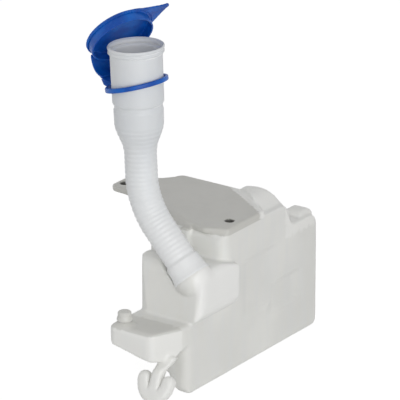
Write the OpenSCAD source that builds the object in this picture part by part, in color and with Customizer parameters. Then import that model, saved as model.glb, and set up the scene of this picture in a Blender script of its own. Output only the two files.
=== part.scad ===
// Washer fluid reservoir: a blown tank, a corrugated filler tube and a tethered flip cap.
// Millimetres, +Z up. The origin is the middle of the flat base, the right-hand wall faces +X.

/* [Tank] */
// Width of the tank between its left and right walls
tank_w = 87; // [75:1:100]
// Length of the tank along its base
tank_l = 219; // [205:1:230]
// Height of the mounting plate's top above the base
plate_z = 143; // [138:1:150]
// Thickness of the blown wall
wall = 2.5; // [2:0.1:3]
// Length of the low front block, ahead of the main chamber
front_l = 59; // [55:1:63]
// Height of the rear roof above the base
rear_z = 114; // [106:1:119]
// Length of the rear roof along the base
rear_l = 53; // [48:1:58]
// Lean of the back wall from bottom to top
back_lean = 5; // [2:1:8]
// Radius of the tank's long edges
edge_r = 10; // [8:0.5:12]

/* [Shoulder] */
// Width of the raised shoulder beside the plate
hump_w = 50; // [44:1:56]
// Length of the raised shoulder
hump_l = 40; // [36:1:44]
// Height of the shoulder above the plate
hump_h = 8; // [5:0.5:9]

/* [Mounting plate] */
// Thickness of the mounting plate
plate_t = 6; // [5:0.2:7]
// How far the plate reaches past the left wall
plate_over = 34; // [28:1:38]
// How far the ear reaches past the plate
ear_l = 37; // [33:1:41]
// Width of the ear
ear_w = 29; // [25:1:33]
// Radius of the two bolt holes
bolt_r = 3.9; // [3:0.1:4.5]
// Bolt hole in the ear, from the ear's end
ear_hole_in = 9; // [8:0.5:13]
// Bolt hole in the front corner, from the right-hand wall
front_hole_in = 12.3; // [10:0.1:16]
// Bolt hole in the front corner, from the plate's nose
front_hole_back = 29.3; // [24:0.1:34]

/* [Front block and filler box] */
// Width of the low front block
block_w = 38; // [34:1:42]
// Height of the ledge on top of the block
ledge_z = 69; // [65:1:72]
// Height of the block's underside beside its foot
under_z = 24; // [20:1:27]
// Width of the foot under the block, beside the right-hand wall
foot_w = 12; // [10:0.5:15]
// Width of the filler box
box_w = 76; // [72:1:80]
// How far the filler box stands proud of the right-hand wall
box_proud = 9; // [6:0.5:11]
// Height of the filler box's top above the base
box_z = 124; // [121:1:127]
// How far the filler box stands back from the front block
box_back = 7; // [5:0.5:10]

/* [Front arm, clip, hook and pump port] */
// Width of the front arm at its tip
arm_w = 49; // [46:1:52]
// Reach of the arm ahead of the front block
arm_l = 35; // [31:1:38]
// Thickness of the arm
arm_t = 22; // [19:0.5:25]
// Radius of the pump port in the chamber's front wall
port_r = 9; // [7:0.5:10]
// Radius of the clip peg's head
peg_r = 6.5; // [5.5:0.25:7.5]
// Height of the clip peg
peg_h = 15; // [12:0.5:18]
// Span of the anchor hook
hook_span = 40; // [36:1:44]
// Thickness of the anchor hook
hook_t = 7; // [5:0.5:9]
// Height of the anchor hook's foot above the base
hook_z = 5; // [3:0.5:8]

/* [Filler tube] */
// Height of the mouth above the base
mouth_z = 318.5; // [311:0.5:324]
// Lean of the neck from upright
neck_lean = 2.6; // [1:0.2:4]
// Straight length from the mouth to the bend
straight_l = 122.6; // [116:0.2:128]
// Radius of the bend, on the tube's centre line
bend_r = 75; // [65:1:85]
// Slope of the tail below the level
tail_slope = 47.6; // [44:0.2:52]
// Straight length from the bend to the tank
tail_l = 53.2; // [50:0.2:56]
// Outer radius of the mouth's lip
lip_r = 26; // [25:0.1:26.4]
// Outer radius of the neck under the lip
neck_r = 24; // [23:0.1:24.6]
// Outer radius of the collar under the neck
collar_r = 22.8; // [22:0.1:23.4]
// Outer radius of the corrugated tube
tube_r = 15.3; // [14.9:0.1:15.8]
// Wall of the corrugated tube
tube_wall = 1.5; // [1.2:0.1:1.7]
// Length of the taper under the collar
taper_l = 26; // [20:1:32]
// Height of each corrugation
rib_h = 0.7; // [0.3:0.1:1]
// Distance from one corrugation to the next
rib_pitch = 4.6; // [4:0.1:6]
// Length of the plain cuff that slips over the tank's spigot
cuff_l = 16; // [14:0.5:18]

/* [Flip cap] */
// Radius of the lid
lid_r = 34; // [33:0.5:35]
// Thickness of the lid
lid_t = 2.2; // [1.8:0.1:2.8]
// Depth of the skirt that closes over the lip
skirt_h = 8.6; // [8:0.1:8.8]
// Length of the thumb tab past the lid's edge
tab_l = 18; // [14:1:22]
// Angle from the lid's far side to the thumb tab
tab_turn = 57; // [50:1:64]
// Direction of the strap around the neck
strap_turn = 158; // [150:1:166]
// Distance of the strap's film hinge from the neck's axis
hinge_out = 36.6; // [36.2:0.1:37]
// Depth of the film hinge below the mouth with the lid closed
hinge_down = 16.3; // [15:0.1:17]
// Width of the strap
strap_w = 22; // [18:1:26]
// How far the lid stands open
open_deg = 50; // [45:1:55]
// How far the ring rides down the neck as the lid opens
ring_drop = 19.7; // [18:0.1:21]
// Depth of the ring below the film hinge
ring_down = 2; // [1:0.5:3]
// Tilt of the loose ring on the neck
ring_tilt = 11; // [6:1:12]

/* [Hidden] */
$fn = 64;
// Clearance of the cuff over the spigot, all round
cuff_gap = 0.2;
// Gap at the film hinge, which the thin web bridges on the moulding
film_gap = 0.3;
// Height inside the closed lid above the lip, which lets the lid swing over it
lid_gap = 3.7;
// Play of the skirt round the lip, which lets the lid swing clear
skirt_play = 3;
// Play of the ring round the neck
ring_play = 2.5;
corner_steps = 4;
tube_sides = 28;
// Half the length that a view is carried, past everything on the tank
reach = 400;
right_x = tank_w / 2;
left_x = -tank_w / 2;
front_y = -tank_l / 2;
back_y = tank_l / 2;
chamber_y = front_y + front_l;
roof_z = plate_z - plate_t;
step_y = back_y - back_lean - rear_l;
// Run of the slope from the plate down to the rear roof
slope_run = 10;
base_r = 4;
// How far a lump reaches into its neighbour
root = 14;
plate_nose = 3;
plate_nose_y = chamber_y - plate_nose;
plate_step = 10.5;
plate_x = left_x - plate_over;
plate_back_y = step_y - 0.4;
plate_corner_r = 8;
// Corners of the plate's nose, from the right-hand wall
nose_in = 21.5;
nose_left = 52.4;
ear_y = chamber_y + 38.5;
ear_cut = 5;
ear_root = 18;
ear_hole_up = 12.5;
// Where the raised shoulder meets the plate: its near end, its far end and its overlap past the step
hump_near = 3;
hump_far = 6;
hump_aft = 8;
// How far the shoulder falls to the right-hand wall
hump_fall = 20;
// The low swelling on the rear roof
swell_w = 21;
swell_l = 23;
swell_h = 4.5;
swell_in = 5;
box_x = right_x + box_proud;
box_y = front_y + box_back;
// How far the box's front leans back, and its roof falls to the right and to the back
box_slant = 9;
box_fall = 9;
box_back_fall = 15;
block_x = right_x - block_w;
// The block's right-hand wall stands this much proud of the chamber's
block_proud = 0.3;
arm_y = front_y - arm_l;
arm_x = block_x - 26.5;
arm_slant = 6;
// Side lug on the chamber's front corner, and the gusset under the plate's nose
lug_w = 13.5;
lug_l = 12;
lug_low = 52;
lug_h = 42;
gusset_w = 9;
gusset_h = 19;
gusset_l = 4;
port_x = block_x - 29.5;
port_z = 32;
hook_x = right_x - 10.5;
hook_bar = 9;
// Lean of the anchor hook, its foot forward, and the distance of its foot from the arm's tip
hook_lean = 24;
hook_fore = 0.5;
peg_in = 13;
peg_back = 10;
ear_hole = [plate_x - ear_l + ear_hole_in, ear_y + ear_hole_up];
front_hole = [right_x - front_hole_in, plate_nose_y + front_hole_back];
tube_y = chamber_y - 37;
mouth_x = right_x - 71.3;
neck_l = 74;
lip_h = 7;
neck_wall = 2.2;
// How far the neck runs past the first corrugation
lap = 0.5;
groove_down = 53;
groove_w = 5;
groove_d = 0.8;
neck_bore_r = collar_r - neck_wall;
bend_deg = 90 - neck_lean - tail_slope;
bend_l = bend_r * bend_deg * PI / 180;
path_l = straight_l + bend_l + tail_l;
spigot_r = tube_r - tube_wall - 0.6 - cuff_gap;
spigot_wall = 2;
cuff_r = tube_r + 1.5;
seat_r = cuff_r + 0.9;
seat_l = 2;
bore_l = 9;
// Room round the seat, where the cuff goes into the box
seat_room = 0.6;
room_l = 70;
skirt_r = lip_r + skirt_play;
skirt_wall = 1.6;
// How much thinner the tab is than the lid, on each side
tab_inset = 0.3;
film_r = 1.5;
ring_r = neck_r + ring_play;
ring_wall = 2.5;
ring_h = 4.4;
// Gap left on the far side, where the lid's weight pulls the ring against the neck
rest_gap = 0.3;
ring_shift = ring_r * cos(ring_tilt) - ring_h / 2 * sin(ring_tilt) - neck_r - rest_gap;

function unit(v) = v / norm(v);
function cross2(a, b) = a[0] * b[1] - a[1] * b[0];
function inward(a, b) = let (e = unit(b - a)) [-e[1], e[0]];

// Moves each corner of an anticlockwise outline in by d
function inset(outline, d) = [
    for (i = [0:len(outline) - 1])
        let (
            n = len(outline),
            b = outline[i],
            n1 = inward(outline[(i + n - 1) % n], b),
            n2 = inward(b, outline[(i + 1) % n])
        )
        b + d * (n1 + n2) / (1 + n1 * n2)
];

// Rounds each corner of an outline, with the same number of points at every corner
function rounded(outline, radii, d) = [
    for (i = [0:len(outline) - 1])
        let (
            n = len(outline),
            b = outline[i],
            u1 = unit(outline[(i + n - 1) % n] - b),
            u2 = unit(outline[(i + 1) % n] - b),
            turn = cross2(-u1, u2) > 0 ? 1 : -1,
            r = max(0.4, radii[i] - turn * d),
            half = acos(u1 * u2) / 2,
            centre = b + unit(u1 + u2) * r / sin(half),
            start = b + u1 * r / tan(half) - centre,
            from = atan2(start[1], start[0])
        )
        for (k = [0:corner_steps])
            let (angle = from + turn * (180 - 2 * half) * k / corner_steps)
            centre + r * [cos(angle), sin(angle)]
];

function rect(a, b) = [a, [b[0], a[1]], b, [a[0], b[1]]];
function even(r) = [r, r, r, r];

// A rounded outline, moved in by the skin and carried along Z through the whole tank
module view(outline, radii, skin) {
    translate([0, 0, -reach])
        linear_extrude(2 * reach)
            polygon(rounded(inset(outline, skin), radii, skin));
}

// Looks along -X: the outline is drawn in Y and Z
module side_view(outline, radii, skin) {
    rotate([90, 0, 90]) view(outline, radii, skin);
}

// Looks along +Y: the outline is drawn in X and Z
module front_view(outline, radii, skin) {
    rotate([90, 0, 0]) view(outline, radii, skin);
}

module chamber(skin) {
    intersection() {
        side_view(
            [
                [chamber_y, 0], [back_y, 0], [back_y - back_lean, rear_z], [step_y + slope_run, rear_z],
                [step_y, roof_z], [chamber_y, roof_z]
            ],
            [base_r, edge_r + 4, edge_r + 4, edge_r, 6, 6], skin
        );
        front_view(rect([left_x, 0], [right_x, plate_z]), [base_r, base_r, edge_r, edge_r], skin);
        view(rect([left_x, chamber_y], [right_x, back_y]), even(edge_r), skin);
    }
}

module hump(skin) {
    low = rear_z - 20;
    top = plate_z + hump_h;
    hump_x = right_x - hump_w;
    fore = step_y - hump_l;
    aft = step_y + hump_aft;
    intersection() {
        side_view([[fore, low], [aft, low], [aft - 6, top], [fore, top]], [4, 4, 10, 14], skin);
        front_view(
            [[hump_x, low], [right_x, low], [right_x, top - hump_fall], [right_x - hump_w / 2, top], [hump_x, top - 5]],
            [4, 4, 16, 20, 8], skin
        );
        view(
            [[hump_x, step_y - hump_far], [right_x, fore + hump_near], [right_x, aft], [hump_x, aft]],
            [4, 6, edge_r, 4], skin
        );
    }
}

// A low swelling on the rear roof, at the right-hand back corner
module swelling(skin) {
    low = rear_z - 16;
    top = rear_z + swell_h;
    aft = back_y - back_lean - 1;
    right = right_x - swell_in;
    intersection() {
        front_view(rect([right - swell_w, low], [right, top]), [2, 2, 6, 6], skin);
        side_view(rect([aft - swell_l, low], [aft, top]), [2, 2, 7, 9], skin);
    }
}

module block(skin) {
    right = right_x + block_proud;
    aft = chamber_y + root;
    knee = right_x - foot_w;
    intersection() {
        front_view(
            [[block_x, under_z], [knee - 9, under_z - 5], [knee, 0], [right, 0], [right, ledge_z], [block_x, ledge_z]],
            [6, 3, 3, base_r, 7, 7], skin
        );
        side_view(rect([front_y, 0], [aft, ledge_z]), [edge_r, 3, 3, 8], skin);
        view(rect([block_x, front_y], [right, aft]), [8, 8, 3, 3], skin);
    }
}

module filler_box(skin) {
    low = ledge_z - 3;
    box_left = box_x - box_w;
    aft = chamber_y + root;
    intersection() {
        front_view(
            [[box_left, low], [box_x, low], [box_x, box_z - box_fall], [box_left, box_z]],
            [9, 17, 11, 9], skin
        );
        side_view(
            [[box_y, low], [aft, low], [aft, box_z - box_back_fall], [box_y + box_slant, box_z]],
            [6, 3, 3, 14], skin
        );
        view(rect([box_left, box_y], [box_x, aft]), [24, 11, 3, 3], skin);
    }
}

// A lug down the chamber's left-hand front corner, and the gusset under the plate's nose
module lugs() {
    translate([left_x + 1, chamber_y - lug_l, lug_low])
        linear_extrude(lug_h)
            polygon([[0, 4], [4, 0], [lug_w - 2, 0], [lug_w, 2], [lug_w, 2 * lug_l], [0, 2 * lug_l]]);
    translate([block_x - gusset_w, chamber_y - gusset_l, roof_z - gusset_h])
        cube([gusset_w, 2 * gusset_l, gusset_h + 1]);
}

module arm(skin) {
    low = ledge_z - arm_t;
    top = ledge_z - 0.6;
    aft = front_y + root;
    tip = arm_x + arm_w;
    arm_right = right_x - 1;
    intersection() {
        front_view(
            [[arm_x, low + arm_slant / 2], [arm_right, low - arm_slant / 2], [arm_right, top], [arm_x, top]],
            even(6), skin
        );
        side_view(rect([arm_y, low - arm_slant / 2], [aft, top]), [6, 3, 3, 6], skin);
        view(
            [[arm_x, arm_y], [tip, arm_y], [arm_right, front_y], [arm_right, aft], [arm_x, aft]],
            [9, 9, 3, 3, 3], skin
        );
    }
}

// The flat plate and ear that bolt to the body, with the outline of the plan view
module plate() {
    ear_x = plate_x - ear_l;
    neck = plate_x - 13;
    translate([0, 0, roof_z])
        linear_extrude(plate_t)
            difference() {
                union() {
                    polygon([
                        [neck, ear_y - 2], [right_x - nose_left, plate_nose_y + plate_step],
                        [right_x - nose_in, plate_nose_y], [right_x, plate_nose_y + plate_step],
                        [right_x, step_y - hump_l + hump_near + 1], [right_x - hump_w, plate_back_y],
                        [plate_x + plate_corner_r, plate_back_y], [plate_x, plate_back_y - plate_corner_r],
                        [plate_x - 8, plate_back_y - ear_root], [ear_x + 3, ear_y + ear_w],
                        [ear_x, ear_y + ear_w - 3], [ear_x, ear_y + ear_cut], [ear_x + ear_cut, ear_y]
                    ]);
                    translate([plate_x + plate_corner_r, plate_back_y - plate_corner_r])
                        circle(plate_corner_r);
                }
                for (p = [ear_hole, front_hole])
                    translate(p) circle(bolt_r);
            }
}

// An anchor: a stem and two upturned flukes, which keep two hoses apart
module hook() {
    arc_r = hook_span / 2 - hook_bar / 2;
    centre = arc_r + hook_bar / 2;
    stem_l = (ledge_z - arm_t - hook_z) / cos(hook_lean) + 2;
    stem_root = centre + hook_bar + 2;
    translate([hook_x, arm_y + hook_fore, hook_z])
        rotate([90 - hook_lean, 0, 0])
            translate([0, 0, -hook_t / 2])
                linear_extrude(hook_t) {
                    difference() {
                        translate([0, centre]) circle(arc_r + hook_bar / 2);
                        translate([0, centre]) circle(arc_r - hook_bar / 2);
                        translate([-hook_span, centre]) square([2 * hook_span, hook_span]);
                    }
                    for (side = [-1, 1])
                        translate([side * arc_r, centre]) circle(hook_bar / 2);
                    polygon([
                        [-hook_bar / 2, 2], [hook_bar / 2, 2], [hook_bar / 2, stem_root], [hook_bar, stem_l],
                        [-hook_bar, stem_l], [-hook_bar / 2, stem_root]
                    ]);
                }
}

// The mushroom peg on the arm's end, which holds the hose against the filler box
module peg() {
    neck = 0.7 * peg_r;
    translate([arm_x + peg_in, arm_y + peg_back, ledge_z - 4])
        rotate_extrude()
            polygon([
                [0, 0], [neck, 0], [neck, peg_h - peg_r], [peg_r, peg_h - 0.7 * peg_r],
                [peg_r, peg_h], [0.75 * peg_r, peg_h + 3], [0, peg_h + 3]
            ]);
}

function heading(s) =
    s < straight_l ? 90 - neck_lean
    : s < straight_l + bend_l ? 90 - neck_lean - (s - straight_l) / bend_r * 180 / PI
    : tail_slope;

// The centre line, from the mouth down: a straight, a bend and a straight, in the plane Y = tube_y
function along(s) =
    let (
        top = 90 - neck_lean,
        a = heading(s),
        down = min(s, straight_l),
        tail = max(0, s - straight_l - bend_l)
    )
    [
        mouth_x + down * cos(top) + bend_r * (sin(top) - sin(a)) + tail * cos(a),
        tube_y,
        mouth_z - down * sin(top) - bend_r * (cos(a) - cos(top)) - tail * sin(a)
    ];

// Puts what is drawn up the Z axis on the tube's centre line, with Z back towards the mouth
module on_path(s) {
    translate(along(s)) rotate([0, heading(s) - 90, 0]) children();
}

// The room that the tube takes above its seat, in the filler box
module tube_room(skin) {
    on_path(path_l) translate([0, 0, -skin]) cylinder(r = seat_r + seat_room + skin, h = room_l + skin);
}

// A knuckle on the filler box, cut square to the tube
module knuckle() {
    translate(along(path_l + seat_l)) sphere(seat_r + 0.5);
    on_path(path_l) translate([0, 0, -seat_l]) cylinder(r = seat_r, h = seat_l);
}

module tank() {
    bore_r = spigot_r - spigot_wall;
    color("gainsboro") {
        difference() {
            union() {
                difference() {
                    union() {
                        chamber(0);
                        hump(0);
                        swelling(0);
                        block(0);
                        filler_box(0);
                        arm(0);
                        knuckle();
                        lugs();
                    }
                    tube_room(0);
                    chamber(wall);
                    hump(wall);
                    swelling(wall);
                    block(wall);
                    difference() {
                        filler_box(wall);
                        tube_room(wall);
                    }
                    arm(wall);
                }
                on_path(path_l) translate([0, 0, -wall]) cylinder(r = spigot_r, h = wall + cuff_l - 3);
                plate();
                hook();
                peg();
            }
            on_path(path_l) translate([0, 0, -bore_l]) cylinder(r = bore_r, h = bore_l + cuff_l);
            translate([port_x, chamber_y + wall + 4, port_z])
                rotate([90, 0, 0]) cylinder(r = port_r, h = wall + 8);
        }
    }
}

// Radius of the corrugated wall at a distance along the centre line
function ease(t) = let (c = min(1, max(0, t))) c * c * (3 - 2 * c);
function wave(s) = rib_h * (0.5 - 0.5 * cos(360 * (s - neck_l) / rib_pitch));
function bellows_r(s, top, low) = top + (low - top) * ease((s - neck_l) / taper_l);

function ring_at(s, r) =
    let (c = along(s), a = heading(s))
    [
        for (i = [0:tube_sides - 1])
            let (t = 360 * i / tube_sides)
            c + r * [cos(t) * sin(a), sin(t), cos(t) * cos(a)]
    ];

// The corrugated length as one closed sweep: the outer rings down, then the plain bore back up
module bellows() {
    first = neck_l - 2;
    last = path_l - cuff_l + 3;
    rib_steps = ceil((last - neck_l) / rib_pitch * 4);
    bore_steps = ceil((last - neck_l) / 6);
    outer = concat(
        [ring_at(first, collar_r - 0.5)],
        [
            for (j = [0:rib_steps])
                let (s = neck_l + (last - neck_l) * j / rib_steps)
                ring_at(s, bellows_r(s, collar_r - 0.5, tube_r - rib_h) + wave(s))
        ]
    );
    bore = concat(
        [
            for (j = [bore_steps:-1:0])
                let (s = neck_l + (last - neck_l) * j / bore_steps)
                ring_at(s, bellows_r(s, neck_bore_r + 0.5, tube_r - tube_wall))
        ],
        [ring_at(first, neck_bore_r + 0.5)]
    );
    rings = concat(outer, bore);
    n = tube_sides;
    points = [for (ring = rings) for (p = ring) p];
    faces = [
        for (k = [0:len(rings) - 1])
            for (i = [0:n - 1])
                let (
                    j = (i + 1) % n,
                    here = k * n,
                    next = (k + 1) % len(rings) * n
                )
                for (f = [[here + i, next + j, next + i], [here + i, here + j, next + j]]) f
    ];
    polyhedron(points, faces);
}

// The neck: the lip's two beads, the plain neck, a groove and the collar
module neck() {
    bore_r = neck_bore_r;
    on_path(0)
        rotate_extrude()
            polygon([
                [bore_r, 0], [lip_r - 0.6, 0], [lip_r, -0.8], [lip_r, -2.4], [lip_r - 0.9, -3.2],
                [lip_r - 0.9, -4.2], [lip_r - 0.2, -5], [lip_r - 0.2, -lip_h + 0.8], [neck_r, -lip_h],
                [neck_r - 0.4, -groove_down], [collar_r - groove_d, -groove_down - 2],
                [collar_r - groove_d, -groove_down - groove_w], [collar_r, -groove_down - groove_w - 2],
                [collar_r, -neck_l - lap], [bore_r, -neck_l - lap]
            ]);
}

module cuff() {
    on_path(path_l)
        rotate_extrude()
            polygon([
                [spigot_r + cuff_gap, 0], [cuff_r + 0.7, 0], [cuff_r + 0.7, 3], [cuff_r, 3.8],
                [cuff_r, cuff_l - 1], [cuff_r - 0.8, cuff_l], [spigot_r + cuff_gap, cuff_l]
            ]);
}

module filler_tube() {
    color("whitesmoke") {
        neck();
        bellows();
        cuff();
    }
}

// The cap's own frame: X from the neck's axis to the strap, Z up the neck, at the mouth
module at_mouth() {
    on_path(0) rotate([0, 0, strap_turn]) children();
}

hinge_rest = -hinge_down - ring_drop;

module cap_ring() {
    color("royalblue")
        at_mouth() {
            translate([ring_shift, 0, hinge_rest - ring_down])
                rotate([0, ring_tilt, 0])
                    rotate_extrude()
                        polygon([
                            [ring_r, -ring_h / 2], [ring_r + ring_wall - 0.6, -ring_h / 2],
                            [ring_r + ring_wall, -ring_h / 2 + 0.6], [ring_r + ring_wall, ring_h / 2 - 0.6],
                            [ring_r + ring_wall - 0.6, ring_h / 2], [ring_r, ring_h / 2]
                        ]);
            difference() {
                rotate([90, 0, 0])
                    translate([0, 0, -strap_w / 2])
                        linear_extrude(strap_w)
                            polygon([
                                [ring_r + 1.2, hinge_rest - ring_down - 9], [ring_r + 3, hinge_rest - ring_down - 9],
                                [hinge_out, hinge_rest - 2.4], [hinge_out, hinge_rest - 0.2],
                                [hinge_out - 2, hinge_rest - 0.2], [ring_r + 1.2, hinge_rest - 6]
                            ]);
                translate([hinge_out, 0, hinge_rest])
                    rotate([90, 0, 0])
                        cylinder(r = film_r + film_gap, h = strap_w + 2, center = true);
                translate([0, 0, hinge_rest - 30]) cylinder(r = ring_r - 0.4, h = 40);
            }
        }
}

module lid_disc() {
    rotate_extrude()
        polygon([
            [0, lid_gap], [lid_r - 1.2, lid_gap], [lid_r - 1.2, lid_gap - 1], [lid_r, lid_gap - 1],
            [lid_r, lid_gap + lid_t - 0.8], [lid_r - 0.8, lid_gap + lid_t], [0, lid_gap + lid_t]
        ]);
}

module thumb_tab() {
    tip = 3;
    rotate([0, 0, 180 + tab_turn])
        translate([0, 0, lid_gap + tab_inset])
            linear_extrude(lid_t - 2 * tab_inset)
                union() {
                    polygon([
                        [lid_r - 6, -16], [lid_r + tab_l - tip, -tip], [lid_r + tab_l - tip, tip],
                        [lid_r - 6, 16]
                    ]);
                    translate([lid_r + tab_l - tip, 0]) circle(tip);
                }
}

module strap() {
    rotate([90, 0, 0])
        translate([0, 0, -strap_w / 2])
            linear_extrude(strap_w)
                union() {
                    translate([hinge_out, -hinge_down]) circle(film_r);
                    polygon([
                        [hinge_out - 0.9, -hinge_down], [hinge_out + 0.9, -hinge_down],
                        [hinge_out + 0.9, lid_gap + lid_t - 1.5], [hinge_out - 0.6, lid_gap + lid_t],
                        [lid_r - 6, lid_gap + lid_t], [lid_r - 6, lid_gap + 0.2], [hinge_out - 0.9, lid_gap + 0.2]
                    ]);
                }
}

// Puts what is drawn on the closed lid where the lid stands open
module opened() {
    at_mouth()
        translate([hinge_out, 0, hinge_rest])
            rotate([0, open_deg, 0])
                translate([-hinge_out, 0, hinge_down])
                    children();
}

module flip_lid() {
    color("mediumblue")
        opened() {
            lid_disc();
            thumb_tab();
            strap();
        }
}

// The skirt under the lid is part of the same moulding, in a node of its own for its collision
module lid_skirt() {
    color("mediumblue")
        opened()
            rotate_extrude()
                polygon(rect([skirt_r, lid_gap - skirt_h], [skirt_r + skirt_wall, lid_gap]));
}

tank();
filler_tube();
cap_ring();
flip_lid();
lid_skirt();
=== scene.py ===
import math

import bmesh
import bpy
from mathutils import Matrix, Vector


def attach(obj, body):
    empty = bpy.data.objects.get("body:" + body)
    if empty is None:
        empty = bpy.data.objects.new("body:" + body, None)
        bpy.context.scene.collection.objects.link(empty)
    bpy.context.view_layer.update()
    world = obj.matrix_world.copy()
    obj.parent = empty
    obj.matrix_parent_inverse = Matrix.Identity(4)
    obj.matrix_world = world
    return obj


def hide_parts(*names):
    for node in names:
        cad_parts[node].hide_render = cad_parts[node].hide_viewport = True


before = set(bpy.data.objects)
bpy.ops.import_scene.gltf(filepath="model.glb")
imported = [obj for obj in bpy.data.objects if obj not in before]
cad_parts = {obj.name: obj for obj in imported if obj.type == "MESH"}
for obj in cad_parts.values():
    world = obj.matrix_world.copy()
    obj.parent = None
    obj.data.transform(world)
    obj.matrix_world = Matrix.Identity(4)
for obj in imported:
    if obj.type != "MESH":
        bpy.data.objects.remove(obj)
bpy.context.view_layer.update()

scene = bpy.context.scene
scene.view_settings.view_transform = "Standard"
mm = 0.001


class Sock:
    # wraps one node output, so that maths on it reads as a formula; add takes a node's inputs by name, with _ for a
    # space, or as i0, i1 and so on by number
    def __init__(self, tree, out):
        self.tree, self.out = tree, out

    def add(self, kind, settings=None, take=0, **values):
        node = self.tree.nodes.new(kind)
        for key, value in (settings or {}).items():
            setattr(node, key, value)
        for key, value in values.items():
            at = node.inputs[int(key[1:])] if key[1:].isdigit() else node.inputs[key.replace("_", " ")]
            if isinstance(value, Sock):
                self.tree.links.new(value.out, at)
            else:
                at.default_value = value
        return Sock(self.tree, node.outputs[take])

    def maths(self, operation, a, b=0.0):
        return self.add("ShaderNodeMath", {"operation": operation}, i0=a, i1=b)

    def __add__(self, b):
        return self.maths("ADD", self, b)

    def __sub__(self, b):
        return self.maths("SUBTRACT", self, b)

    def __rsub__(self, b):
        return self.maths("SUBTRACT", b, self)

    def __mul__(self, b):
        return self.maths("MULTIPLY", self, b)

    def clamp(self):
        return self.add("ShaderNodeClamp", Value=self)

    def band(self, low, high):
        # 0 below low, 1 above high, smooth between
        smooth = {"interpolation_type": "SMOOTHSTEP"}
        return self.add("ShaderNodeMapRange", smooth, Value=self, From_Min=low, From_Max=high)


def newMaterial(name):
    made = bpy.data.materials.new(name)
    made.use_nodes = True
    made.node_tree.nodes.clear()
    return made, Sock(made.node_tree, None)


def finishMaterial(made, shader):
    end = made.node_tree.nodes.new("ShaderNodeOutputMaterial")
    made.node_tree.links.new(shader.out, end.inputs["Surface"])
    return made


def noise(kit, place, scale, detail=3.0, rough=0.5):
    return kit.add("ShaderNodeTexNoise", Vector=place, Scale=scale, Detail=detail, Roughness=rough)


def blendColour(kit, factor, first, second):
    a = first if isinstance(first, Sock) else (*first, 1)
    b = second if isinstance(second, Sock) else (*second, 1)
    return kit.add("ShaderNodeMix", {"data_type": "RGBA"}, take=2, i0=factor, i6=a, i7=b)


def srgb(r, g, b):
    return tuple(c / 255 / 12.92 if c <= 10 else ((c / 255 + 0.055) / 1.055) ** 2.4 for c in (r, g, b))


milkyPlastic = {
    # in each look, shade is painted shade on the tank and on the tube only darkens the neck; glow is painted light
    "tank": {
        "light": srgb(239, 239, 235), "thick": srgb(230, 230, 226), "cool": srgb(232, 233, 232),
        "shade": srgb(199, 198, 192), "glow": srgb(252, 252, 249),
    },
    "tube": {
        "light": srgb(238, 240, 241), "thick": srgb(231, 234, 236), "cool": srgb(230, 234, 239),
        "shade": srgb(206, 209, 213), "glow": srgb(246, 247, 247),
    },
    # the first colour below is the painted shade at the bottom of the bolt holes
    "hole": srgb(84, 83, 79), "cloud": 13, "cloudBand": (0.3, 0.72),
    "streak": 90, "streakBand": (0.42, 0.62), "streakTint": 0.35, "streakStretch": (1, 1, 0.12),
    "pebble": 900, "pebbleBump": 0.12, "pebbleHeight": 0.4 * mm,
    "rough": 0.34, "streakRough": 0.08, "pebbleRough": 0.10,
    "inside": 0.25, "insideReach": (6 * mm, 6 * mm, 6 * mm), "insideScale": 0.4, "index": 1.51,
}


def milkyMaterial(name, look):
    # blown polyethylene: cloudy with the wall's thickness, faintly streaked down the parison, softly pebbled, and with
    # painted light and shade from a value stored on each point
    made, kit = newMaterial(name)
    wall = milkyPlastic
    place = kit.add("ShaderNodeTexCoord", take=3)
    cloud = noise(kit, place, wall["cloud"], 3.0, 0.45).band(*wall["cloudBand"])
    tall = kit.add("ShaderNodeMapping", Vector=place, Scale=wall["streakStretch"])
    streak = noise(kit, tall, wall["streak"], 2.0).band(*wall["streakBand"])
    pebble = noise(kit, place, wall["pebble"], 2.0)
    colour = blendColour(kit, cloud, look["light"], look["thick"])
    colour = blendColour(kit, streak * wall["streakTint"], colour, look["cool"])
    # each point's stored value paints light and shade: below 0 darker, as painted shade on the tank, below -1 dark, as
    # the painted shade in the bolt holes, and above 0 lighter, as painted light
    paintedLight = kit.add("ShaderNodeAttribute", {"attribute_name": "paintedLight"}, take=2)
    colour = blendColour(kit, (0.0 - paintedLight).clamp(), colour, look["shade"])
    colour = blendColour(kit, paintedLight.clamp(), colour, look["glow"])
    colour = blendColour(kit, (-1.0 - paintedLight).clamp(), colour, wall["hole"])
    bump = kit.add("ShaderNodeBump", Strength=wall["pebbleBump"], Distance=wall["pebbleHeight"], Height=pebble)
    rough = streak * wall["streakRough"] + pebble * wall["pebbleRough"] + wall["rough"]
    shader = kit.add(
        "ShaderNodeBsdfPrincipled", Base_Color=colour, Roughness=rough, Normal=bump, IOR=wall["index"],
        Subsurface_Weight=wall["inside"], Subsurface_Radius=wall["insideReach"], Subsurface_Scale=wall["insideScale"],
    )
    return finishMaterial(made, shader)


bluePlastic = {
    "light": srgb(0, 99, 196), "deep": srgb(0, 74, 168), "worn": srgb(92, 136, 205),
    "patch": 55, "patchBand": (0.35, 0.65), "grain": 1400, "grainBump": 0.15, "grainHeight": 0.3 * mm,
    "scuff": 380, "scuffBand": (0.56, 0.72), "scuffStretch": (1, 0.15, 1), "scuffTint": 0.12,
    "rough": 0.35, "grainRough": 0.10, "scuffRough": 0.12, "index": 1.49, "shine": 0.35,
}


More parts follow.
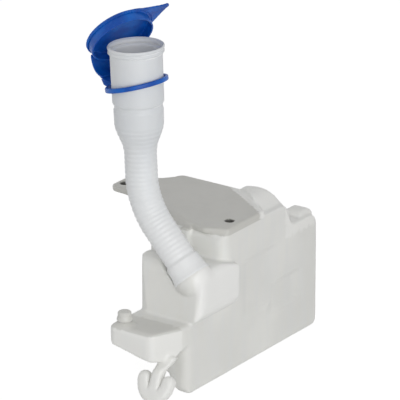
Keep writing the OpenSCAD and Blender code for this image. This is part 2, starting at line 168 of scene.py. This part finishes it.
def blueMaterial(name):
    # moulded polypropylene: a little patchy, finely grained and lightly scuffed
    made, kit = newMaterial(name)
    look = bluePlastic
    place = kit.add("ShaderNodeTexCoord", take=3)
    patch = noise(kit, place, look["patch"], 3.0).band(*look["patchBand"])
    grain = noise(kit, place, look["grain"], 2.0)
    long = kit.add("ShaderNodeMapping", Vector=place, Scale=look["scuffStretch"])
    scuff = noise(kit, long, look["scuff"], 3.0).band(*look["scuffBand"])
    colour = blendColour(kit, patch, look["light"], look["deep"])
    colour = blendColour(kit, scuff * look["scuffTint"], colour, look["worn"])
    bump = kit.add("ShaderNodeBump", Strength=look["grainBump"], Distance=look["grainHeight"], Height=grain)
    rough = grain * look["grainRough"] + scuff * look["scuffRough"] + look["rough"]
    shader = kit.add(
        "ShaderNodeBsdfPrincipled", Base_Color=colour, Roughness=rough, Normal=bump, IOR=look["index"],
        Specular_IOR_Level=look["shine"],
    )
    return finishMaterial(made, shader)


tankMaterial = milkyMaterial("milky tank plastic", milkyPlastic["tank"])
tubeMaterial = milkyMaterial("milky tube plastic", milkyPlastic["tube"])
capMaterial = blueMaterial("blue cap plastic")
print("materials made")


def newObject(name, mesh):
    made = bpy.data.objects.new(name, mesh)
    scene.collection.objects.link(made)
    return made


def plainMesh(piece):
    # applies what is on a piece, and leaves a plain mesh
    bpy.context.view_layer.update()
    ready = piece.evaluated_get(bpy.context.evaluated_depsgraph_get())
    mesh = bpy.data.meshes.new_from_object(ready)
    piece.modifiers.clear()
    piece.data = mesh
    return mesh


def smoothShade(piece, degrees):
    piece.data.shade_smooth()
    piece.data.set_sharp_from_angle(angle=math.radians(degrees))


def dress(piece, body, slot, material, *nodes):
    piece.data.materials.clear()
    piece.data.materials.append(material)
    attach(piece, body)
    if nodes:
        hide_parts(*nodes)
    print("made", piece.name, len(piece.data.polygons), "faces")


def melted(nodes, name, look, reshape, extra=None):
    # CAD nodes, and what extra adds, melted together with round edges, as a moulding's are; reshape(place, normal)
    # then gives each point its new place
    mesh = bpy.data.meshes.new(name)
    work = bmesh.new()
    for node in nodes:
        work.from_mesh(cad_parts[node].data)
    bmesh.ops.remove_doubles(work, verts=work.verts, dist=1e-6)
    if extra:
        extra(work)
    work.to_mesh(mesh)
    work.free()
    piece = newObject(name, mesh)
    melt = piece.modifiers.new("melt", "REMESH")
    melt.mode, melt.voxel_size, melt.use_smooth_shade = "VOXEL", look["voxel"], True
    relax = piece.modifiers.new("relax", "SMOOTH")
    relax.factor, relax.iterations = 0.5, look["smooth"]
    plainMesh(piece)
    moved = [reshape(point.co, point.normal) for point in piece.data.vertices]
    piece.data.vertices.foreach_set("co", [c for place in moved for c in place])
    thin = piece.modifiers.new("thin", "DECIMATE")
    thin.ratio = look["keep"]
    plainMesh(piece)
    smoothShade(piece, 60)
    return piece


tankShell = {
    "voxel": 1.35 * mm, "smooth": 7, "keep": 0.42,
    # the plate's underside, two points on the line where the raised shoulder starts, and the rear roof's near edge
    "plateLow": 136.4 * mm, "shoulder": (Vector((-12, 44)) * mm, Vector((43.5, 8)) * mm),
    "rear": 50 * mm, "roof": 104 * mm, "boxSide": 46 * mm, "boxBlend": 2 * mm, "armFront": -113 * mm, "armTop": 66 * mm,
    "holes": ((-105.5, 0.5), (31.2, -24.2)), "holeRadius": 4.6 * mm, "holeTop": 142.3 * mm,
    # painted light and shade for each part: below 0 painted darker, above 0 painted lighter, and the bolt holes painted
    # dark
    "paintedLight": {"hole": -2, "plate": -0.8, "bulge": 0.5, "armTop": -0.5, "box": 0.8},
    # the hook grows, narrows about its middle and shifts
    "hookTop": 47 * mm, "hookBlend": 20 * mm, "hookGrow": 2.2 * mm, "hookMid": 33 * mm, "hookNarrow": 0.16,
    "hookShift": Vector((-3, -1.6, 0)) * mm,
    # the peg's head, as its middle and its half width and height, sinks into a mound; heights are in mm
    "peg": Vector((-8, -134.5, 79.2)) * mm, "pegSize": (6.5 * mm, 3.9 * mm), "pegNear": (1.4, 1.2),
    "pegSink": 2.2 * mm, "pegRoot": (71, 75),
    "mound": 2.6 * mm, "moundReach": 13 * mm, "moundSlope": 10 * mm, "moundLow": (60, 66), "moundHigh": (70, 73),
    # the arm's underside falls over a stretch of X, between two stretches of Z, in mm
    "sag": 5 * mm, "sagAcross": (-20, 30), "sagLow": (30, 46), "sagHigh": (50, 60), "sagBlend": 8 * mm,
    # a shallow stepped panel in the right-hand wall: its two parts from near and low to far and high in Y and Z,
    # the depth, and how far in each of the four edges slopes
    "wall": 38 * mm, "depth": 2.2 * mm,
    "panels": (((-26, 42), (54, 106), (16, 8, 30, 7)), ((16, 35), (83, 69), (16, 6, 22, 6))),
}


def ramp(x, low, high):
    # 0 below low, 1 above high, smooth between
    t = min(max((x - low) / (high - low), 0), 1)
    return t * t * (3 - 2 * t)


def fall(x, low, high):
    # 1 below low, 0 above high, smooth between
    return ramp(-x, -high, -low)


def squarer(reach):
    # the push that makes the peg's round head a flat one with round edges
    wide, high = tankShell["pegSize"]
    outMost, upMost = tankShell["pegNear"]
    out, up = math.hypot(reach.x, reach.y) / wide, abs(reach.z) / high
    if out > outMost or up > upMost or not out + up:
        return Vector()
    return reach * (math.hypot(out, up) / (out ** 4 + up ** 4) ** 0.25 - 1)


def armDrop(place):
    # lets the arm's underside fall towards the right, and sinks the peg into a mound on the arm
    look, x, z = tankShell, place.x / mm, place.z / mm
    sag = look["sag"] * ramp(x, *look["sagAcross"]) * ramp(z, *look["sagLow"]) * fall(z, *look["sagHigh"])
    sag *= ramp(look["armFront"] - place.y, 0, look["sagBlend"])
    near = look["moundReach"] - math.hypot(place.x - look["peg"].x, place.y - look["peg"].y)
    mound = look["mound"] * ramp(near, 0, look["moundSlope"]) * ramp(z, *look["moundLow"]) * fall(z, *look["moundHigh"])
    return Vector((0, 0, mound - sag - look["pegSink"] * ramp(z, *look["pegRoot"])))


def tankShape(place, normal):
    # shapes the arm, its hook and its peg, and presses the panel into the right-hand wall
    look, deep = tankShell, 0
    if place.y < look["armFront"]:
        low = ramp(look["hookTop"] - place.z, 0, look["hookBlend"])
        side = Vector((look["hookNarrow"] * (look["hookMid"] - place.x), 0, 0)) + look["hookShift"]
        return place + (normal * look["hookGrow"] + side) * low + squarer(place - look["peg"]) + armDrop(place)
    if not look["wall"] < place.x < look["boxSide"]:
        return place
    for (y0, z0), (y1, z1), slopes in look["panels"]:
        gaps = place.y / mm - y0, place.z / mm - z0, y1 - place.y / mm, z1 - place.z / mm
        deep = max(deep, math.prod(ramp(gap, 0, slope) for gap, slope in zip(gaps, slopes)))
    return place - Vector((deep * look["depth"], 0, 0))


def inHole(place):
    look = tankShell
    near = [math.hypot(place.x - x * mm, place.y - y * mm) < look["holeRadius"] for x, y in look["holes"]]
    return place.z < look["holeTop"] and any(near)


def tankPaintedLight(place):
    # painted light and shade: the plate's top and a band of the arm are painted darker and the bolt holes dark; the
    # hump, the rear roof, the arm above and below that band and the box's right-hand face are painted lighter
    look, paintedLight = tankShell, tankShell["paintedLight"]
    a, b = look["shoulder"]
    past = (place.x - a.x) * (a.y - b.y) + (place.y - a.y) * (b.x - a.x)
    if place.z > look["plateLow"]:
        if inHole(place):
            return paintedLight["hole"]
        return paintedLight["bulge"] if past >= 0 else paintedLight["plate"]
    if place.y > look["rear"] and place.z > look["roof"]:
        return paintedLight["bulge"]
    if place.y < look["armFront"]:
        return paintedLight["bulge"] if place.z > look["roof"] or place.z < look["armTop"] else paintedLight["armTop"]
    return paintedLight["box"] * ramp(place.x, look["boxSide"] - look["boxBlend"], look["boxSide"] + look["boxBlend"])


def addPaintedLight(piece, paintedLight):
    kept = piece.data.attributes.new("paintedLight", "FLOAT", "POINT")
    kept.data.foreach_set("value", [paintedLight(point.co) for point in piece.data.vertices])


def makeTank():
    piece = melted(["tank"], "tankShell", tankShell, tankShape)
    addPaintedLight(piece, tankPaintedLight)
    dress(piece, "reservoir", "tank_plastic", tankMaterial, "tank")


makeTank()


fillerTube = {
    "mouth": Vector((-27.8, -87.5, 318.5)) * mm, "lean": 2.6, "straight": 122.6 * mm, "bend": 75 * mm,
    "slope": 47.6, "tail": 54.4 * mm, "step": 0.55 * mm, "sides": 72, "wall": 1.7 * mm, "neckDeep": 72 * mm,
    "ribPitch": 4.6 * mm, "ribHeight": 0.38 * mm, "ribStart": 76 * mm, "ribEnd": 212 * mm,
    # the painted light inside the neck, how much darker the neck is painted, the painted light gained down the tail,
    # how deep the tail is fully painted light, and how far in from the outer wall the inside starts
    "insidePaintedLight": 0.9, "neckTone": -0.35, "tailPaintedLight": 1.2, "tailDeep": 2.8, "insideFrom": 0.8 * mm,
    # a height on the neck, where the faces are tested for pointing outwards
    "testHeight": 290 * mm, "testBand": 2 * mm,
    # outer radius at distances from the mouth, in mm: lip, beads, neck, groove, collar, taper, tube, cuff
    "girth": (
        (0, 25.2), (0.7, 26), (2.4, 26), (3.2, 25.1), (4.2, 25.1), (5, 25.8), (6.2, 25.8), (7.2, 24), (53, 23.6),
        (55, 22), (58, 22), (60, 22.8), (74, 22.6), (81, 20.7), (93, 15.9), (100, 14.6), (211, 14.7), (212, 15.9),
        (213, 16.6), (222, 16.9), (226, 17.7), (227.5, 18.3), (229.1, 18.3),
    ),
}


def tubePlace(s):
    # the centre line: a straight, a bend and a straight, in one upright plane
    look = fillerTube
    top, turn = math.radians(90 - look["lean"]), math.radians(90 - look["lean"] - look["slope"])
    arc = min(max(0, s - look["straight"]), look["bend"] * turn)
    down, tail = min(s, look["straight"]), max(0, s - look["straight"] - look["bend"] * turn)
    a = top - arc / look["bend"]
    return look["mouth"] + Vector((
        down * math.cos(top) + look["bend"] * (math.sin(top) - math.sin(a)) + tail * math.cos(a), 0,
        -down * math.sin(top) - look["bend"] * (math.cos(a) - math.cos(top)) - tail * math.sin(a),
    ))


def tubeGirth(s):
    rows = fillerTube["girth"]
    at = min(max(s / mm, 0), rows[-1][0])
    for (s0, r0), (s1, r1) in zip(rows, rows[1:]):
        if at <= s1:
            return (r0 + (r1 - r0) * (at - s0) / (s1 - s0)) * mm


def tubePaintedLight(place):
    # painted light and shade: the inside of the neck is painted lit and the tail is painted lighter the further down it
    # goes; the neck is painted a darker, bluer grey
    look = fillerTube
    deep = look["mouth"].z - place.z
    axis = look["mouth"].x + deep * math.tan(math.radians(look["lean"]))
    out = math.hypot(place.x - axis, place.y - look["mouth"].y)
    if deep < look["neckDeep"] and out < tubeGirth(deep) - look["insideFrom"]:
        return look["insidePaintedLight"]
    return look["tailPaintedLight"] * ramp(deep, look["neckDeep"], look["tailDeep"] * look["neckDeep"]) + look["neckTone"]


class GeoTree:
    # a node tree that is built with named inputs and put on a piece as a modifier
    def __init__(self, name, inputs):
        self.tree = bpy.data.node_groups.new(name, "GeometryNodeTree")
        face = self.tree.interface
        face.new_socket("Geometry", in_out="INPUT", socket_type="NodeSocketGeometry")
        self.sockets = {}
        for label, kind in inputs.items():
            self.sockets[label] = face.new_socket(label, in_out="INPUT", socket_type="NodeSocket" + kind)
        face.new_socket("Geometry", in_out="OUTPUT", socket_type="NodeSocketGeometry")
        self.start = self.tree.nodes.new("NodeGroupInput")
        self.kit = Sock(self.tree, None)

    def given(self, label):
        return Sock(self.tree, self.start.outputs[label])

    def close(self, shape):
        whole = self.kit.add("GeometryNodeRealizeInstances", Geometry=shape)
        whole = self.kit.add("GeometryNodeSetMaterial", Geometry=whole, Material=self.given("Material"))
        end = self.tree.nodes.new("NodeGroupOutput")
        self.tree.links.new(whole.out, end.inputs["Geometry"])

    def puton(self, piece, **values):
        live = piece.modifiers.new(self.tree.name, "NODES")
        live.node_group = self.tree
        for label, value in values.items():
            live[self.sockets[label].identifier] = value
        return plainMesh(piece)


def ribbedTree():
    # sweeps a circle down a path by its stored girth, with rounded ribs over one stretch
    made = GeoTree("ribbed tube", {
        "Pitch": "Float", "Height": "Float", "Start": "Float", "End": "Float", "Sides": "Int", "Material": "Material",
    })
    kit = made.kit
    path = kit.add("GeometryNodeMeshToCurve", Mesh=made.given("Geometry"))
    s = kit.add("GeometryNodeSplineParameter", take=1)
    girth = kit.add("GeometryNodeInputNamedAttribute", {"data_type": "FLOAT"}, Name="girth")
    turn = (s - made.given("Start")) * kit.maths("DIVIDE", 2 * math.pi, made.given("Pitch"))
    wave = 0.5 - kit.maths("COSINE", turn) * 0.5
    within = kit.maths("GREATER_THAN", s, made.given("Start")) * kit.maths("LESS_THAN", s, made.given("End"))
    ring = kit.add("GeometryNodeCurvePrimitiveCircle", Resolution=made.given("Sides"), Radius=1.0)
    rib = wave * made.given("Height") * within
    made.close(kit.add("GeometryNodeCurveToMesh", Curve=path, Profile_Curve=ring, Scale=girth + rib))
    return made


def makeTube():
    look = fillerTube
    turn = math.radians(90 - look["lean"] - look["slope"])
    length = look["straight"] + look["bend"] * turn + look["tail"]
    count = round(length / look["step"])
    places = [length * i / count for i in range(count + 1)]
    mesh = bpy.data.meshes.new("fillerTube")
    mesh.from_pydata([tubePlace(s) for s in places], [(i, i + 1) for i in range(count)], [])
    girth = mesh.attributes.new("girth", "FLOAT", "POINT")
    girth.data.foreach_set("value", [tubeGirth(s) for s in places])
    piece = newObject("fillerTube", mesh)
    ribbedTree().puton(
        piece, Pitch=look["ribPitch"], Height=look["ribHeight"], Start=look["ribStart"], End=look["ribEnd"],
        Sides=look["sides"], Material=tubeMaterial,
    )
    work = bmesh.new()
    work.from_mesh(piece.data)
    work.normal_update()
    side = next(f for f in work.faces if abs(f.calc_center_median().z - look["testHeight"]) < look["testBand"])
    middle = side.calc_center_median()
    if side.normal.dot(middle - Vector((look["mouth"].x, look["mouth"].y, middle.z))) < 0:
        bmesh.ops.reverse_faces(work, faces=work.faces)
    work.to_mesh(piece.data)
    work.free()
    wall = piece.modifiers.new("wall", "SOLIDIFY")
    wall.thickness, wall.offset = look["wall"], -1
    plainMesh(piece)
    smoothShade(piece, 50)
    addPaintedLight(piece, tubePaintedLight)
    dress(piece, "reservoir", "tube_plastic", tubeMaterial, "filler_tube")


makeTube()

capRing = {
    "voxel": 0.4 * mm, "smooth": 3, "keep": 0.5,
    # the strap's direction; where the tongue leaves the ring and where it is widest, and how much wider it gets there;
    # how far the ring hangs askew, along the strap's direction and across it, and where it starts to
    "turn": 158, "tongue": (29.5 * mm, 33.5 * mm), "spread": 0.45, "askew": (0.045, 0.06), "level": 8 * mm,
}


def capFrame():
    # where the cap stands: X points from the neck's axis to the strap, Z up the neck
    place = Matrix.Translation(fillerTube["mouth"]) @ Matrix.Rotation(math.radians(-fillerTube["lean"]), 4, "Y")
    return place @ Matrix.Rotation(math.radians(capRing["turn"]), 4, "Z")


capOut = capFrame()
capIn = capOut.inverted()


def ringShape(place, normal):
    # the ring's tongue spreads to the strap's width, and the far side of the ring hangs askew
    look, p = capRing, capIn @ place
    along, across = look["askew"]
    back = look["tongue"][0] - p.x
    p.z += ramp(back, 0, look["level"]) * (along * back - across * p.y)
    p.y *= 1 + look["spread"] * ramp(p.x, *look["tongue"])
    return capOut @ p


ring = melted(["cap_ring"], "capRing", capRing, ringShape)
dress(ring, "ring", "cap_plastic", capMaterial, "cap_ring")


flipLid = {
    "voxel": 0.45 * mm, "smooth": 3, "keep": 0.5,
    # where the lid stands: its hinge and how far it is open
    "hingeOut": 36.6 * mm, "hingeRest": -36 * mm, "hingeDown": 16.3 * mm, "open": 50,
    # the flange is trimmed towards the skirt, except within some degrees of the tab, and at the strap
    "skirt": 30.8 * mm, "trim": 0.75, "tabClear": (30, 55), "strapHalf": 15 * mm, "strapClear": 1.6,
    "tabAt": 237, "tabReach": 52 * mm, "tabRoot": 31.4 * mm, "tabLevels": (4 * mm, 5.6 * mm),
    # outside the skirt the strap spreads, curls round the lid and bows
    "strapTop": 5.9 * mm, "strapFrom": (2 * mm, 5 * mm), "bow": 4.5 * mm, "curl": 36 * mm, "spread": 0.6,
}


def lidFrame():
    # where the open lid stands: its own axis is Z, with the mouth's plane at zero
    seat = flipLid
    arm, down = seat["hingeOut"], seat["hingeDown"]
    place = capOut @ Matrix.Translation((arm, 0, seat["hingeRest"]))
    return place @ Matrix.Rotation(math.radians(seat["open"]), 4, "Y") @ Matrix.Translation((-arm, 0, down))


lidOut = lidFrame()
lidIn = lidOut.inverted()


def lidShape(place, normal):
    # spreads, curls and bows the strap, or else trims the flange
    look, p = flipLid, lidIn @ place
    r = math.hypot(p.x, p.y)
    if p.x > look["skirt"] and abs(p.y) < look["strapHalf"]:
        up = min(max((p.z + look["hingeDown"]) / (look["strapTop"] + look["hingeDown"]), 0), 1)
        low, high = capRing["spread"], look["spread"]
        near, far = look["strapFrom"]
        reach = ramp(p.x, look["skirt"] + near, look["skirt"] + far)
        p.y *= 1 + reach * (low + (high - low) * up)
        curl = look["curl"] - math.sqrt(look["curl"] ** 2 - p.y ** 2)
        p.x += reach * (look["bow"] * math.sin(math.pi * up) - curl * up)
    elif r > look["skirt"]:
        off = abs((math.degrees(math.atan2(p.y, p.x)) - look["tabAt"] + 180) % 360 - 180)
        aside = ramp(abs(p.y) + max(0, -p.x), look["strapHalf"], look["strapClear"] * look["strapHalf"])
        keep = 1 - look["trim"] * ramp(off, *look["tabClear"]) * aside
        goal = look["skirt"] + (r - look["skirt"]) * keep
        p.x, p.y = p.x * goal / r, p.y * goal / r
    return lidOut @ p


def broadTab(work):
    # fills in beside the thumb tab, so that its edges run out of the lid's round edge
    look = flipLid
    at, half = math.radians(look["tabAt"]), math.acos(look["tabRoot"] / look["tabReach"])
    corners = ((look["tabReach"], at), (look["tabRoot"], at + half), (look["tabRoot"], at - half))
    low, high = [
        [work.verts.new(lidOut @ Vector((r * math.cos(a), r * math.sin(a), z))) for r, a in corners]
        for z in look["tabLevels"]
    ]
    work.faces.new(low[::-1])
    work.faces.new(high)
    for i in range(3):
        j = (i + 1) % 3
        work.faces.new((low[i], low[j], high[j], high[i]))


lid = melted(["flip_lid", "lid_skirt"], "flipLid", flipLid, lidShape, broadTab)
dress(lid, "lid", "cap_plastic", capMaterial, "flip_lid", "lid_skirt")


lidGrip = {
    "radius": 31.6 * mm, "low": 2.8 * mm, "high": 5.4 * mm, "count": 84, "girth": 0.55 * mm, "sides": 10,
    # no ridges at the strap and at the tab, in degrees
    "gaps": ((-32, 32), (186, 288)),
}


def gripTree():
    # a small upright bar on every point
    made = GeoTree("grip ridges", {"Length": "Float", "Girth": "Float", "Sides": "Int", "Material": "Material"})
    kit = made.kit
    given = made.given
    bar = kit.add("GeometryNodeMeshCylinder", Vertices=given("Sides"), Radius=given("Girth"), Depth=given("Length"))
    made.close(kit.add("GeometryNodeInstanceOnPoints", Points=given("Geometry"), Instance=bar))
    return made


def isBare(angle):
    return any(low < (angle - low) % 360 + low < high for low, high in lidGrip["gaps"])


def makeGrip():
    look = lidGrip
    angles = [360 * i / look["count"] for i in range(look["count"])]
    angles = [math.radians(a) for a in angles if not isBare(a)]
    middle, length = (look["low"] + look["high"]) / 2, look["high"] - look["low"]
    mesh = bpy.data.meshes.new("lidGrip")
    r = look["radius"]
    mesh.from_pydata([(r * math.cos(a), r * math.sin(a), middle) for a in angles], [], [])
    piece = newObject("lidGrip", mesh)
    gripTree().puton(piece, Length=length, Girth=look["girth"], Sides=look["sides"], Material=capMaterial)
    piece.data.transform(lidOut)
    smoothShade(piece, 40)
    dress(piece, "lid", "cap_plastic", capMaterial)


makeGrip()


shot = {
    # where the camera looks from, in degrees, its focal length in pixels of the picture, and its sensor in mm
    "azimuth": 35.0, "pitch": 20.7, "focal": 4000.0, "picture": 400, "sensor": 36, "clip": (0.1, 50),
    # the tank's near lower corner, where it falls in the picture and how far off it is
    "corner": Vector((43.5, -109.5, 6)) * mm, "cornerAt": (187.0, 391.0), "depth": 3.643,
}


def makeCamera():
    a, e = math.radians(shot["azimuth"]), math.radians(shot["pitch"])
    back = Vector((math.sin(a) * math.cos(e), -math.cos(a) * math.cos(e), math.sin(e)))
    right = Vector((math.cos(a), math.sin(a), 0))
    up = back.cross(right)
    px = shot["depth"] / shot["focal"]
    middle = shot["picture"] / 2
    x, y = (shot["cornerAt"][0] - middle) * px, (middle - shot["cornerAt"][1]) * px
    lens = bpy.data.cameras.new("shot")
    lens.lens, lens.sensor_width = shot["focal"] / shot["picture"] * shot["sensor"], shot["sensor"]
    lens.clip_start, lens.clip_end = shot["clip"]
    camera = bpy.data.objects.new("shot", lens)
    scene.collection.objects.link(camera)
    camera.location = shot["corner"] - right * x - up * y + back * shot["depth"]
    camera.rotation_mode = "QUATERNION"
    camera.rotation_quaternion = (-back).to_track_quat("-Z", "Y")
    scene.camera = camera


makeCamera()
print("camera set")

studio = {
    "world": 0.45, "target": (0, -0.02, 0.14),
    "key": {"power": 21.0, "size": 1.5, "place": (1.6, -1.35, 0.55)},
    "fill": {"power": 2.5, "size": 1.4, "place": (-1.7, -0.9, 0.5)},
    # the floor's half width, its plain grey, and the glow and the grey that the camera sees
    "floor": 3.0, "grey": 0.8, "floorGlow": 0.9, "floorSeen": 0.24,
}


def lamp(name):
    look = studio[name]
    light = bpy.data.lights.new(name, "AREA")
    light.energy, light.size = look["power"], look["size"]
    made = bpy.data.objects.new(name, light)
    scene.collection.objects.link(made)
    made.location = look["place"]
    made.rotation_mode = "QUATERNION"
    made.rotation_quaternion = (Vector(studio["target"]) - Vector(look["place"])).to_track_quat("-Z", "Y")


def seenWhite(tree, kit, plain, white):
    # what the camera, a gloss or a clear surface sees is white; everything else gets the plain shader
    ray = tree.nodes.new("ShaderNodeLightPath")
    seen = Sock(tree, ray.outputs["Is Camera Ray"]) + Sock(tree, ray.outputs["Is Glossy Ray"])
    seen = (seen + Sock(tree, ray.outputs["Is Transmission Ray"])).clamp()
    return kit.add("ShaderNodeMixShader", i0=seen, i1=plain, i2=white)


def grey(level):
    return level, level, level, 1


def makeWorld():
    world = bpy.data.worlds.new("studio")
    scene.world = world
    world.use_nodes = True
    tree = world.node_tree
    tree.nodes.clear()
    kit = Sock(tree, None)
    dim = kit.add("ShaderNodeBackground", Color=grey(1), Strength=studio["world"])
    white = kit.add("ShaderNodeBackground", Color=grey(1), Strength=1.0)
    end = tree.nodes.new("ShaderNodeOutputWorld")
    tree.links.new(seenWhite(tree, kit, dim, white).out, end.inputs["Surface"])


def makeFloor():
    # white where it is lit, darker in the object's shadow
    made, kit = newMaterial("pale floor")
    paint = kit.add("ShaderNodeBsdfDiffuse", Color=grey(studio["grey"]))
    glow = kit.add("ShaderNodeEmission", Color=grey(1), Strength=studio["floorGlow"])
    seen = kit.add("ShaderNodeBsdfDiffuse", Color=grey(studio["floorSeen"]))
    lit = kit.add("ShaderNodeAddShader", i0=glow, i1=seen)
    finishMaterial(made, seenWhite(made.node_tree, kit, paint, lit))
    half = studio["floor"]
    mesh = bpy.data.meshes.new("floor")
    mesh.from_pydata([(-half, -half, 0), (half, -half, 0), (half, half, 0), (-half, half, 0)], [], [(0, 1, 2, 3)])
    mesh.materials.append(made)
    newObject("floor", mesh)


makeWorld()
makeFloor()
lamp("key")
lamp("fill")
print("studio made")
